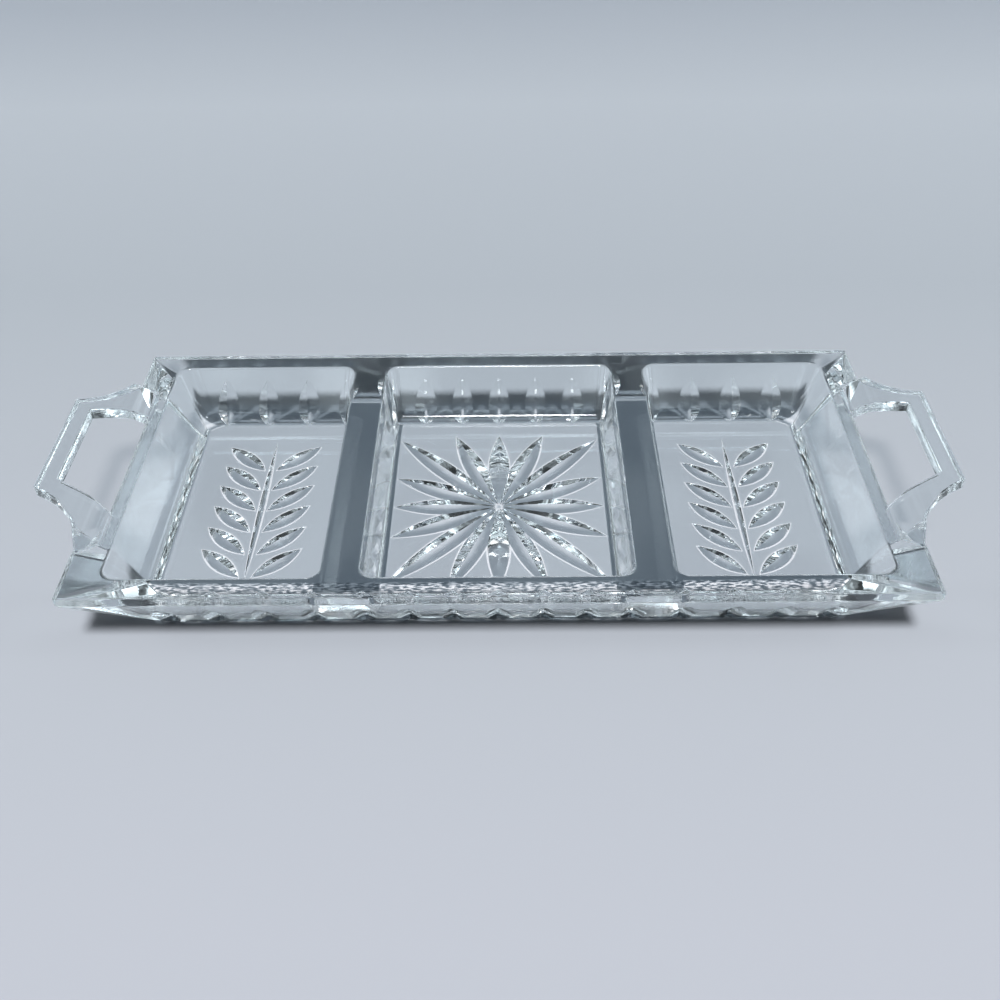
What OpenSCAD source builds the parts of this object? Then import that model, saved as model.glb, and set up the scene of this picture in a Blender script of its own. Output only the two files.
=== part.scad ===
// Three-compartment relish tray in clear pressed and cut glass, with four corner ears and two open handles.
// The real tray is one casting. Its natural sections are separate solids here, and they meet face to face.
// Millimetres. X runs along the tray, Y across it, Z up. The origin is under the middle of the base.

/* [Body] */
// Length of the rim over the four corner ears
body_l = 305; // [270:1:350]
// Width of the rim
body_w = 146; // [130:1:170]
// Height of the rim above the table
rim_h = 30; // [27:0.5:36]
// How far the base reaches past the flat floors at each end
end_foot = 2.5; // [1:0.5:5]
// How far the base reaches past the flat floors at the front and the back
wall_foot = 11; // [7:0.5:14]
// Size of the facet across each corner of the base
base_facet = 6; // [3:0.5:9]
// Height of the upright edge round the rim
edge_h = 4; // [3:0.5:6]

/* [Compartments] */
// Thickness of the three floors
floor_t = 9.5; // [7:0.5:12]
// Width of the flat rim along the front and the back
rim_w = 9.5; // [8:0.5:12]
// Width of the flat rim at each end, ear included
end_rim_w = 13.5; // [12:0.5:16]
// Length of the centre opening at the rim
centre_l = 97; // [88:1:104]
// Width of a divider at its top
divider_w = 13.5; // [11:0.5:16]
// Radius of an opening's corners at the rim
opening_r = 5; // [2:0.5:8]
// Lean of the front and back faces between rim and floor
wall_lean = 12; // [9:0.5:14]
// Lean of the end faces between rim and floor
end_lean = 9; // [7:0.5:10]
// Lean of the divider faces between rim and floor
divider_lean = 4; // [3:0.5:6]
// Height of the hollow along the foot of every wall
cove_h = 4; // [2:0.5:6]
// Width of the hollow along the front and the back
cove_w = 5.5; // [3:0.5:7]
// Width of the hollow at the ends
end_cove_w = 4; // [3:0.5:5]
// Width of the hollow along a divider
divider_cove_w = 1.4; // [0.8:0.2:2]

/* [Ears and handles] */
// Depth of the recess in the rim between two ears
recess_d = 8; // [6:0.5:10]
// Length of an ear along the end of the tray
ear_w = 28; // [24:0.5:34]
// How far an ear's side slants away over the depth of the recess
ear_slant = 4.4; // [2:0.2:7]
// Reach of a handle past the ears
handle_out = 18; // [14:0.5:24]
// How far a handle's sides draw in from its bend to its outer edge, each
side_draw = 17; // [12:0.5:20]
// Height of a handle's outer edge above the rim
grip_rise = 11.3; // [9:0.1:14]
// Distance of a handle's bend from the inner edge of the recess
knee_out = 8; // [6:0.5:10]
// Height of a handle's bend above the rim
knee_rise = 6.6; // [5:0.2:8]
// How far a handle's bend lies in from the ears, on each side
knee_inset = 1; // [0.5:0.1:3]
// Thickness of a handle
handle_t = 5; // [4:0.5:6.5]
// Radius of the hollow side edges of a handle
handle_side_r = 27; // [24:1:40]
// Width of the bar that the fingers hold
bar_w = 7; // [5:0.5:9]
// Width of an arm of a handle where it leaves the tray
arm_w = 16.5; // [12:0.5:19]
// Width of an arm of a handle where it meets the bar
arm_end_w = 6; // [4:0.5:8]

/* [Cut pattern] */
// Number of rays in the centre star
ray_count = 16; // [8:4:20]
// Widest width of a ray
ray_w = 9; // [6:0.5:10]
// Depth of a ray
ray_d = 2.6; // [1.5:0.1:3.5]
// Radius of the uncut hub of the star
hub_r = 1.2; // [0.8:0.1:2]
// Distance from the tips of the rays to the edge of the floor
star_margin = 0.5; // [0.3:0.1:4]
// Distance between two pairs of leaves
leaf_pitch = 12.5; // [10:0.5:13]
// Length of a leaf
leaf_l = 23; // [16:0.5:26]
// Width of a leaf
leaf_w = 7; // [4:0.5:8]
// Depth of a leaf
leaf_d = 2.2; // [1:0.1:2.5]
// Lean of a leaf away from its stem, in degrees
leaf_lean = 48; // [35:1:60]
// Gap between the stem and a leaf
leaf_gap = 1.2; // [0.6:0.1:2]
// Distance from the ends of the stem to the edge of the floor
stem_margin = 4; // [2:0.5:8]
// Width of the stem
stem_w = 2.4; // [1.5:0.1:3.5]
// Depth of the stem
stem_d = 0.9; // [0.5:0.1:1.5]
// Distance between two flutes in the outside of a long wall, along the centre compartment
flute_pitch = 16.2; // [12:0.1:17]
// Distance between two flutes along a side compartment
side_flute_pitch = 17.9; // [13:0.1:20]
// Distance from the tip of a flute to the upright edge of the rim
flute_gap = 7.5; // [5:0.5:10]
// Width of a flute
flute_w = 9.5; // [6:0.5:11]
// Depth of a flute
flute_d = 2.4; // [1.5:0.1:3]
// How far the lower end of a flute runs past the edge of the base
flute_runout = 2; // [1:0.5:4]

/* [Hidden] */
$fn = 96;

// Overrun of a cut past the faces that it opens
overrun = 1;

// Facets along a lens, and how far its ends reach past its tips, outside the glass
lens_steps = 6;
lens_end_share = 1.1;

// Places along the height
edge_z = rim_h - edge_h;
cove_z = floor_t + cove_h;
cove_share = (rim_h - cove_z) / (rim_h - floor_t);

// Places across the tray, from its middle
rim_y = body_w / 2;
opening_y = rim_y - rim_w;
cove_y = opening_y - wall_lean * cove_share;
floor_y = opening_y - wall_lean - cove_w;
base_y = floor_y + wall_foot;
recess_y = rim_y - ear_w;

// Places along the tray, from its middle
ear_x = body_l / 2;
recess_x = ear_x - recess_d;
end_x = ear_x - end_rim_w;
end_cove_x = end_x - end_lean * cove_share;
end_floor_x = end_x - end_lean - end_cove_w;
base_x = end_floor_x + end_foot;
centre_x = centre_l / 2;
centre_cove_x = centre_x - divider_lean * cove_share;
centre_floor_x = centre_x - divider_lean - divider_cove_w;
side_x = centre_x + divider_w;
side_cove_x = side_x + divider_lean * cove_share;
side_floor_x = side_x + divider_lean + divider_cove_w;
side_mid_x = (side_floor_x + end_floor_x) / 2;

// Places on a handle
grip_x = ear_x + handle_out;
hole_x = grip_x - bar_w;
knee_x = recess_x + knee_out;
knee_y = recess_y - knee_inset;
grip_y = knee_y - side_draw;
hole_y = grip_y - arm_end_w;
hole_root_y = recess_y - arm_w;
grip_z = rim_h + grip_rise;
knee_z = rim_h + knee_rise;
knee_share = knee_out / (hole_x - recess_x);
hole_knee_y = hole_root_y + knee_share * (hole_y - hole_root_y);

// Lean of the outer face of a long wall, and a flute's length and middle up that face
wall_angle = atan((rim_y - base_y) / edge_z);
flute_l = edge_z / cos(wall_angle) - flute_gap + flute_runout;
flute_mid = flute_l / 2 - flute_runout;

// Flutes stand on one pitch as far as the middle of a divider, and on the other from there to the end
flute_reach = floor((centre_x + divider_w / 2) / flute_pitch);
flute_turn_x = flute_reach * flute_pitch;
flute_end_x = end_floor_x - flute_w / 2;
side_flutes = floor((flute_end_x - flute_turn_x) / side_flute_pitch);
flute_xs = concat(
    [for (i = [-flute_reach : flute_reach]) i * flute_pitch],
    [for (i = [1 : side_flutes], side = [-1, 1]) side * (flute_turn_x + i * side_flute_pitch)]
);

glass = [0.78, 0.86, 0.90];
glass_floor = [0.86, 0.92, 0.95];
glass_handle = [0.72, 0.82, 0.88];

// Middle of the circle of radius r through a and b, on the left of the way from a to b
function arc_middle(a, b, r) =
    let (d = b - a, h = norm(d) / 2, k = sqrt(r * r - h * h) / norm(d)) (a + b) / 2 + k * [-d[1], d[0]];

// A cut by a wheel with a V edge: a lens l long and w wide at the surface, d deep at its middle.
// The surface is at z = 0, the cut goes up into the glass, and it runs along X.
// lens_cut is the same lens in flat facets, for cuts that cross each other.
module wheel_cut(l, w, d) {
    wheel_r = (l * l / 4 + d * d) / (2 * d);
    translate([0, 0, d - wheel_r])
        rotate([90, 0, 0])
            rotate_extrude()
                polygon([[wheel_r, 0], [wheel_r - 2 * d, w], [wheel_r - 2 * d, -w]]);
}

module lens_cut(l, w, d) {
    out = d / 2;
    function depth(t) = d * (1 - t * t);
    ts = [for (i = [0 : lens_steps]) lens_end_share * (2 * i / lens_steps - 1)];
    sections = [
        for (t = ts)
            let (x = t * l / 2, half = (depth(t) + out) * w / (2 * d))
                [[x, -half, -out], [x, half, -out], [x, 0, depth(t)]]
    ];
    sides = [
        for (i = [0 : lens_steps - 1], k = [0 : 2])
            let (here = 3 * i, next = here + 3, k2 = (k + 1) % 3) [here + k, next + k, next + k2, here + k2]
    ];
    polyhedron(
        points = [for (section = sections, point = section) point],
        faces = concat([[0, 1, 2]], sides, [[3 * lens_steps + 2, 3 * lens_steps + 1, 3 * lens_steps]])
    );
}

// A plan outline with rounded corners, from x0 to x1 and to y on both sides
module rounded_outline(x0, x1, y, r) {
    translate([x0, r - y]) square([x1 - x0, 2 * (y - r)]);
    translate([x0 + r, -y]) square([x1 - x0 - 2 * r, 2 * y]);
    for (x = [x0 + r, x1 - r], side = [-1, 1])
        translate([x, side * (y - r)]) circle(r);
}

// A profile in Y and Z, drawn along X from x0 to x1
module along_x(x0, x1, points) {
    translate([x0, 0, 0]) rotate([90, 0, 90]) linear_extrude(x1 - x0) polygon(points);
}

// A profile in X and Z, drawn along Y from -y to y
module along_y(y, points) {
    translate([0, y, 0]) rotate([90, 0, 0]) linear_extrude(2 * y) polygon(points);
}

// The space of a compartment. Each side goes from the flat floor up its hollow to the leaning face.
module compartment(floor_xs, cove_xs, rim_xs) {
    top = rim_h + overrun;
    intersection() {
        along_x(rim_xs[0], rim_xs[1], [
            [-floor_y, floor_t], [floor_y, floor_t], [cove_y, cove_z], [opening_y, rim_h], [opening_y, top],
            [-opening_y, top], [-opening_y, rim_h], [-cove_y, cove_z]
        ]);
        along_y(opening_y, [
            [floor_xs[0], floor_t], [floor_xs[1], floor_t], [cove_xs[1], cove_z], [rim_xs[1], rim_h],
            [rim_xs[1], top], [rim_xs[0], top], [rim_xs[0], rim_h], [cove_xs[0], cove_z]
        ]);
        linear_extrude(top) rounded_outline(rim_xs[0], rim_xs[1], opening_y, opening_r);
    }
}

module centre_compartment() {
    compartment([-centre_floor_x, centre_floor_x], [-centre_cove_x, centre_cove_x], [-centre_x, centre_x]);
}

module side_compartment() {
    compartment([side_floor_x, end_floor_x], [side_cove_x, end_cove_x], [side_x, end_x]);
}

// The back wall as one bar of constant profile, from one corner section to the other
module wall_bar() {
    along_x(-end_floor_x, end_floor_x, [
        [floor_y, 0], [base_y, 0], [rim_y, edge_z], [rim_y, rim_h], [opening_y, rim_h], [cove_y, cove_z],
        [floor_y, floor_t]
    ]);
}

// One flute up the outer face of the back wall
module flute(x) {
    translate([x, base_y + flute_mid * sin(wall_angle), flute_mid * cos(wall_angle)])
        rotate([0, wall_angle - 90, 90])
            wheel_cut(flute_l, flute_w, flute_d);
}

module fluted_wall() {
    difference() {
        wall_bar();
        for (x = flute_xs) flute(x);
        corner_facet();
        mirror([1, 0, 0]) corner_facet();
    }
}

module end_wall() {
    color(glass)
        along_y(recess_y, [
            [end_floor_x, 0], [base_x, 0], [recess_x, edge_z], [recess_x, rim_h], [end_x, rim_h],
            [end_cove_x, cove_z], [end_floor_x, floor_t]
        ]);
}

// A divider between its two floors, with its ends seated on the faces of the long walls
module divider() {
    color(glass)
        difference() {
            translate([centre_floor_x, -opening_y, 0])
                cube([side_floor_x - centre_floor_x, 2 * opening_y, rim_h]);
            centre_compartment();
            side_compartment();
            wall_space();
            mirror([0, 1, 0]) wall_space();
        }
}

// All that lies outside the inner face of the back wall
module wall_space() {
    far_y = rim_y + overrun;
    along_x(centre_floor_x - overrun, side_floor_x + overrun, [
        [floor_y, -overrun], [far_y, -overrun], [far_y, rim_h + overrun], [opening_y, rim_h + overrun],
        [opening_y, rim_h], [cove_y, cove_z], [floor_y, floor_t]
    ]);
}

// The facet across a base corner: it runs from the cut base corner up to the corner of the ear
module corner_facet() {
    foot = [base_x, base_y, 0];
    ear = [ear_x, rim_y, edge_z];
    middle = foot - [base_facet / 2, base_facet / 2, 0];
    rise = ear - middle;
    spread = [base_facet, -base_facet, 0];
    low = middle - rise;
    polyhedron(
        points = [low + 2 * spread, low - 2 * spread, ear + rise, foot - rise + [ear_w, ear_w, 0]],
        faces = [[0, 1, 2], [0, 3, 1], [1, 3, 2], [0, 2, 3]]
    );
}

// The corner at +X and +Y: the corner post of the body, with its ear reaching past the recess
module corner() {
    color(glass)
        difference() {
            intersection() {
                linear_extrude(rim_h)
                    polygon([
                        [end_floor_x, recess_y], [recess_x, recess_y], [ear_x, recess_y + ear_slant],
                        [ear_x, rim_y], [end_floor_x, rim_y]
                    ]);
                along_x(end_floor_x, ear_x, [[0, 0], [base_y, 0], [rim_y, edge_z], [rim_y, rim_h], [0, rim_h]]);
                along_y(rim_y, [[0, 0], [base_x, 0], [ear_x, edge_z], [ear_x, rim_h], [0, rim_h]]);
            }
            side_compartment();
            corner_facet();
        }
}

module plain_floor(x0, x1) {
    translate([x0, -floor_y, 0]) cube([x1 - x0, 2 * floor_y, floor_t]);
}

// A star in the underside, whose rays reach out to the edges of the floor
module star_cuts() {
    reach_x = centre_floor_x - star_margin;
    reach_y = floor_y - star_margin;
    for (i = [0 : ray_count - 1]) {
        a = i * 360 / ray_count;
        far_x = abs(cos(a)) * reach_y > abs(sin(a)) * reach_x;
        tip_r = far_x ? reach_x / abs(cos(a)) : reach_y / abs(sin(a));
        rotate([0, 0, a])
            translate([(hub_r + tip_r) / 2, 0, 0])
                lens_cut(tip_r - hub_r, ray_w, ray_d);
    }
}

// A stem with pairs of leaves in the underside, drawn round x = 0
module laurel_cuts() {
    out = leaf_gap + stem_w / 2;
    stem_l = 2 * (floor_y - stem_margin);
    leaf_rise = leaf_l * cos(leaf_lean);
    leaf_rows = floor((stem_l - leaf_rise) / leaf_pitch);
    row_y = leaf_rows * leaf_pitch + leaf_rise;
    rotate([0, 0, 90]) lens_cut(stem_l, stem_w, stem_d);
    for (i = [0 : leaf_rows], side = [-1, 1])
        translate([side * out, i * leaf_pitch - row_y / 2, 0])
            rotate([0, 0, 90 - side * leaf_lean])
                translate([leaf_l / 2, 0, 0])
                    lens_cut(leaf_l, leaf_w, leaf_d);
}

module side_floor() {
    color(glass_floor)
        difference() {
            plain_floor(side_floor_x, end_floor_x);
            translate([side_mid_x, 0, 0]) laurel_cuts();
        }
}

// One arm of the handle at +X, from the recess and the side of the ear up to the bend.
// Its last point lies inside the plate, so that the arm and the plate are one.
module handle_arm() {
    seat_l = min(knee_out, recess_d);
    seat_x = recess_x + seat_l;
    seat_y = recess_y + ear_slant * seat_l / recess_d;
    arm_points = [
        [recess_x, hole_root_y, rim_h], [recess_x, hole_root_y, edge_z], [recess_x, recess_y, rim_h],
        [recess_x, recess_y, edge_z], [seat_x, seat_y, rim_h], [seat_x, seat_y, edge_z],
        [knee_x, knee_y, knee_z], [knee_x, knee_y, knee_z - handle_t],
        [knee_x, hole_knee_y, knee_z], [knee_x, hole_knee_y, knee_z - handle_t],
        [knee_x + handle_t / 2, (knee_y + hole_knee_y) / 2, knee_z - handle_t / 2]
    ];
    hull() polyhedron(points = arm_points, faces = [[for (i = [0 : len(arm_points) - 1]) i]]);
}

// The handle's rising plate from the bend outwards, without its finger hole
module handle_plate() {
    knee_point = [knee_x, knee_y];
    grip_point = [grip_x, grip_y];
    intersection() {
        along_y(knee_y, [
            [knee_x, knee_z - handle_t], [grip_x, grip_z - handle_t], [grip_x, grip_z], [knee_x, knee_z]
        ]);
        linear_extrude(grip_z + overrun)
            difference() {
                polygon([knee_point, grip_point, [grip_x, -grip_y], [knee_x, -knee_y]]);
                for (side = [-1, 1])
                    mirror([0, side < 0 ? 1 : 0])
                        translate(arc_middle(knee_point, grip_point, handle_side_r)) circle(handle_side_r);
                polygon([
                    [knee_x, hole_knee_y], [hole_x, hole_y], [hole_x, -hole_y], [knee_x, -hole_knee_y]
                ]);
            }
    }
}

module handle() {
    color(glass_handle) {
        handle_plate();
        handle_arm();
        mirror([0, 1, 0]) handle_arm();
    }
}

module centre_floor() {
    color(glass_floor)
        difference() {
            plain_floor(-centre_floor_x, centre_floor_x);
            star_cuts();
        }
}

module left_floor() { mirror([1, 0, 0]) side_floor(); }
module right_floor() { side_floor(); }
module back_wall() { color(glass) fluted_wall(); }
module front_wall() { mirror([0, 1, 0]) back_wall(); }
module right_end_wall() { end_wall(); }
module left_end_wall() { mirror([1, 0, 0]) end_wall(); }
module right_divider() { divider(); }
module left_divider() { mirror([1, 0, 0]) divider(); }
module back_right_corner() { corner(); }
module back_left_corner() { mirror([1, 0, 0]) corner(); }
module front_right_corner() { mirror([0, 1, 0]) corner(); }
module front_left_corner() { mirror([1, 0, 0]) front_right_corner(); }
module right_handle() { handle(); }
module left_handle() { mirror([1, 0, 0]) handle(); }

left_floor();
centre_floor();
right_floor();
front_wall();
back_wall();
left_end_wall();
right_end_wall();
left_divider();
right_divider();
front_left_corner();
front_right_corner();
back_left_corner();
back_right_corner();
left_handle();
right_handle();
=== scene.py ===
import math
from collections import namedtuple
from functools import partial

import bmesh
import bpy
import numpy as np
from mathutils import Matrix, Vector


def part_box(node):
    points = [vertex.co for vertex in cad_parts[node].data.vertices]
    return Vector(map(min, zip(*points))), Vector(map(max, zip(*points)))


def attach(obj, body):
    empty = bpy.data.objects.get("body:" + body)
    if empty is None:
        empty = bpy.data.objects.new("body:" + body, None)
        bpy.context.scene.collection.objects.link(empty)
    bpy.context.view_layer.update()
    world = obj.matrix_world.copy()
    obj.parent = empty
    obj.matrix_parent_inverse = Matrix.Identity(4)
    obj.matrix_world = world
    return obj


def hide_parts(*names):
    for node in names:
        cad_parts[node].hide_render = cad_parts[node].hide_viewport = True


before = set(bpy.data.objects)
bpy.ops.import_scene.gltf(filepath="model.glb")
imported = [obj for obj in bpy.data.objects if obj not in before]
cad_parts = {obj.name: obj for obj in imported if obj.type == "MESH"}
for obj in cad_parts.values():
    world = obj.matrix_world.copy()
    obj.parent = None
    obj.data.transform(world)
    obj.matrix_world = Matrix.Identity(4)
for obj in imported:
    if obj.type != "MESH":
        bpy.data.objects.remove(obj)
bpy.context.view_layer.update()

MM = 0.001

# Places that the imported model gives
CORNER_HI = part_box("back_right_corner")[1]
END_WALL_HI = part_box("right_end_wall")[1]
CENTRE_FLOOR_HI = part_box("centre_floor")[1]
SIDE_FLOOR_LO, SIDE_FLOOR_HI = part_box("right_floor")
OPENING_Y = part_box("right_divider")[1].y
HANDLE_LO, HANDLE_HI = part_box("right_handle")

RIM_X, RIM_Y, RIM_Z = CORNER_HI
RECESS_X, RECESS_Y = END_WALL_HI.x, END_WALL_HI.y
CENTRE_FLOOR_X, FLOOR_Y, FLOOR_Z = CENTRE_FLOOR_HI
SIDE_FLOOR_X, END_FLOOR_X = SIDE_FLOOR_LO.x, SIDE_FLOOR_HI.x
GRIP_X, GRIP_Z = HANDLE_HI.x, HANDLE_HI.z
EDGE_Z = HANDLE_LO.z

# Body of the tray
FOOT_PAST_END = 2.5 * MM
FOOT_PAST_WALL = 11 * MM
BASE_X = END_FLOOR_X + FOOT_PAST_END
BASE_Y = FLOOR_Y + FOOT_PAST_WALL
BASE_FACET = 6 * MM
EAR_TIP_OUT = 4.4 * MM
EAR_TIP_Y = RECESS_Y + EAR_TIP_OUT
ARRIS_R = 0.7 * MM
ARRIS_STEPS = 3
ARRIS_LEAST_ANGLE = math.radians(18)
SOFT_EDGE_ANGLE = math.radians(24)
FLAT_ANGLE = math.radians(0.3)

# Compartments
WALL_LEAN = 12 * MM
END_LEAN = 9 * MM
DIVIDER_LEAN = 4 * MM
DIVIDER_COVE = 1.4 * MM
END_COVE = 4 * MM
COVE_H = 4 * MM
COVE_STEPS = 10
CENTRE_X = CENTRE_FLOOR_X + DIVIDER_LEAN + DIVIDER_COVE
SIDE_X = SIDE_FLOOR_X - DIVIDER_LEAN - DIVIDER_COVE
END_X = END_FLOOR_X + END_LEAN + END_COVE
RIM_CORNER_R = 5 * MM
FLOOR_CORNER_R = 2.5 * MM
CORNER_STEPS = 8
LIP_R = 0.9 * MM
LIP_STEPS = 4

# Handles
KNEE_OUT = 8 * MM
KNEE_RISE = 6.6 * MM
KNEE_INSET = 1 * MM
GRIP_Y = 27 * MM
SIDE_R = 27 * MM
HANDLE_T = 5 * MM
BAR_W = 7 * MM
HOLE_Y = 21 * MM
HOLE_ROOT_Y = 28.5 * MM
HANDLE_ARRIS_R = 1.1 * MM
HANDLE_LEAST_ANGLE = math.radians(35)
ROOT_LAP = 1.5 * MM
ROOT_STEPS = 6
SIDE_STEPS = 10
ROOT_SLOPE, KNEE_SLOPE, GRIP_SLOPE = 1.05, 0.42, 0.2
KNEE_X = RECESS_X + KNEE_OUT
KNEE_Y = RECESS_Y - KNEE_INSET
KNEE_Z = RIM_Z + KNEE_RISE
HOLE_X = GRIP_X - BAR_W

# Cut pattern
RAYS = 16
RAY_W = 9 * MM
RAY_D = 2.6 * MM
HUB_R = 1.2 * MM
STAR_MARGIN = 0.5 * MM
LEAF_L = 23 * MM
LEAF_W = 7 * MM
LEAF_D = 2.2 * MM
LEAF_PITCH = 12.5 * MM
LEAF_LEAN = math.radians(48)
LEAF_GAP = 1.2 * MM
STEM_L = 84 * MM
STEM_W = 2.4 * MM
STEM_D = 0.9 * MM
FLUTE_PITCH = 16.2 * MM
SIDE_FLUTE_PITCH = 17.9 * MM
FLUTE_W = 9.5 * MM
FLUTE_D = 2.4 * MM
FLUTE_GAP = 7.5 * MM
FLUTE_RUNOUT = 2 * MM
FLUTE_KEEL = 1 * MM
SHOULDER_W = 0.5 * MM
SHOULDER_SLOPE = 0.09
LENS_STEPS = 28
LENS_END = 1.1
OVERRUN = 1 * MM
WELD = 0.0015 * MM
LEAST_SLOPE = 1e-6

# Light that gets through the casting: what clear and thick glass pass on, and the tint of the light
SKIN = 1 * MM
CLEAR_SHARE = 0.97
THICK_SHARE = 0.28
TINT_POWERS = (1.12, 1.0, 0.92)

# Dark strip in front of the floors: how wide it is fully dark and in all, and where threads of light start
DARK_STRIP_FULL_W = 4.5 * MM
DARK_STRIP_W = 7.5 * MM
THREADS_START = 5.25 * MM
THREAD_SCALE = 1300
THREAD_STRETCH = (0.3, 1.0, 1.0)
THREAD_EDGES = (0.42, 0.62)
THREAD_SHARES = (0.4, 2.2)

# Leaning outer faces: what they pass on, how squarely light has to meet them, and how much end faces count
WALL_SLOPE = (RIM_Y - BASE_Y) / EDGE_Z
OUTSIDE_SHARE = 0.02
TURNED_FACINGS = (0.02, 0.05)
END_PART = 0.3
HANDLE_PART = 0.1
FOOT_H = 4 * MM

# Back wall: its faint glow below the rim's shade, light under the flutes' keels and streaks between them
WALL_SHARE = 0.08
RIM_SHADE_Z = 19 * MM
RIM_SHADE_EDGE = 1.5 * MM
FLUTE_SHARE = 1.3
FLUTE_LIT_D = 0.45 * FLUTE_D
STREAK_SHARE = 0.5
STREAK_SLOPE = 0.5
STREAK_W = 1.6 * MM

# Cuts: what their sides pass on, and the gains under their keels and along their outlines
CUT_SHARE = 0.62
KEEL_GAIN = 0.5
OUTLINE_GAIN = 0.9
SHOULDER_FACES = (-0.999, -0.985)
SIDE_FACES = (-0.985, -0.5)

# Glass
GLASS_TINT = (0.91, 0.95, 0.965)
# Painted shade: near-black glass colour at the foot of the front outer wall, standing in for the dark gap
# under the tray, and the heights over which it fades out
FOOT_PAINTED_SHADE = (0.02, 0.025, 0.03)
FOOT_SHADE_HEIGHTS = (3.6 * MM, 4.6 * MM)
CRYSTAL_IOR = 1.54
WAVINESS = {"Ripple size": 45, "Grain size": 260, "Glitter size": 1100, "Glitter": 1.0}
WAVE_STRENGTH = 0.12
WAVE_H = 0.4 * MM
GRAIN_PART = 0.15
LIVELY_FACES = (-0.97, 0.33)

# Table: its colour at places towards the back
TABLE_TONES = [
    (-0.18, (0.58, 0.608, 0.678)),
    (-0.085, (0.552, 0.588, 0.652)),
    (0.18, (0.468, 0.515, 0.572)),
    (0.43, (0.505, 0.553, 0.614)),
    (0.65, (0.40, 0.445, 0.51)),
]
TABLE_REACH = 6.0
TABLE_GAP = 0.15 * MM
TABLE_ROUGHNESS = 0.6
TABLE_SHINE = 0.2

# Studio: the dome's level as a light, its seen levels low and high up, and the room that glass sees in it
DOME_LEVEL = 0.08
SEEN_LOW = 0.95
SEEN_HIGH = 0.1
SEEN_HEIGHTS = (0.2, 0.6)
DOME_TONE = (0.84, 0.95, 1.0)
ROOM_SCALE = 7
ROOM_EDGES = (0.46, 0.62)
ROOM_SHARES = (0.3, 3.6)

# How many turns light is followed through inside the glass
MOST_TURNS = 24

# Lamps: direction, height, half width and soft edge in degrees, and level, with how much glass mirrors them
LAMP_GLOSS = 0.3
LAMPS = [
    (180, 65, 5, 2, 105.8),
    (95, 36, 7, 2, 4.0),
    (-95, 36, 7, 2, 4.0),
]

# Camera where the photograph was taken, with its focal length in pixels of the photograph's frame
CAMERA_PLACE = (5 * MM, -322 * MM, 297.9 * MM)
CAMERA_YAW = math.radians(-0.8)
CAMERA_PITCH = math.radians(41.96)
CAMERA_ROLL = math.radians(-1.0)
FOCAL_PX = 1070.7
FRAME_PX = 1000
SENSOR_W = 36
NEAREST, FARTHEST = 0.01, 50


def new_object(name, data):
    """An object for a mesh or a camera, in the scene."""
    made = bpy.data.objects.new(name, data)
    bpy.context.scene.collection.objects.link(made)
    return made


def mesh_object(name, points, faces):
    """An object from points and faces, with its normals turned outwards."""
    mesh = bpy.data.meshes.new(name)
    mesh.from_pydata([tuple(p) for p in points], [], faces)
    work = bmesh.new()
    work.from_mesh(mesh)
    bmesh.ops.recalc_face_normals(work, faces=work.faces)
    work.to_mesh(mesh)
    work.free()
    return new_object(name, mesh)


def loft(name, rings):
    """A closed solid through rings of as many points each."""
    count = len(rings[0])
    points = [p for ring in rings for p in ring]
    faces = [list(range(count)), list(range(len(points) - count, len(points)))]
    for low in range(0, len(points) - count, count):
        for i in range(count):
            j = (i + 1) % count
            faces.append([low + i, low + j, low + count + j, low + count + i])
    return mesh_object(name, points, faces)


def settle(made):
    """Applies an object's modifiers to its mesh."""
    bpy.context.view_layer.update()
    seen = made.evaluated_get(bpy.context.evaluated_depsgraph_get())
    mesh = bpy.data.meshes.new_from_object(seen)
    made.modifiers.clear()
    made.data = mesh
    return made


def combine(target, other, operation):
    """Joins or cuts target with other, and removes other."""
    step = target.modifiers.new(operation.lower(), "BOOLEAN")
    step.operation = operation
    step.solver = "MANIFOLD"
    step.object = other
    settle(target)
    bpy.data.objects.remove(other)


def round_arrises(made, width, least_angle):
    """Rounds an object's edges that are sharper than an angle."""
    step = made.modifiers.new("arris", "BEVEL")
    step.width = width
    step.segments = ARRIS_STEPS
    step.limit_method = "ANGLE"
    step.angle_limit = least_angle
    settle(made)


def mirrored(made, axis, name):
    """A copy of an object mirrored in X or Y."""
    scale = Vector((-1, 1, 1)) if axis == "X" else Vector((1, -1, 1))
    mesh = made.data.copy()
    mesh.transform(Matrix.Diagonal((*scale, 1)))
    mesh.flip_normals()
    return new_object(name, mesh)


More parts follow.
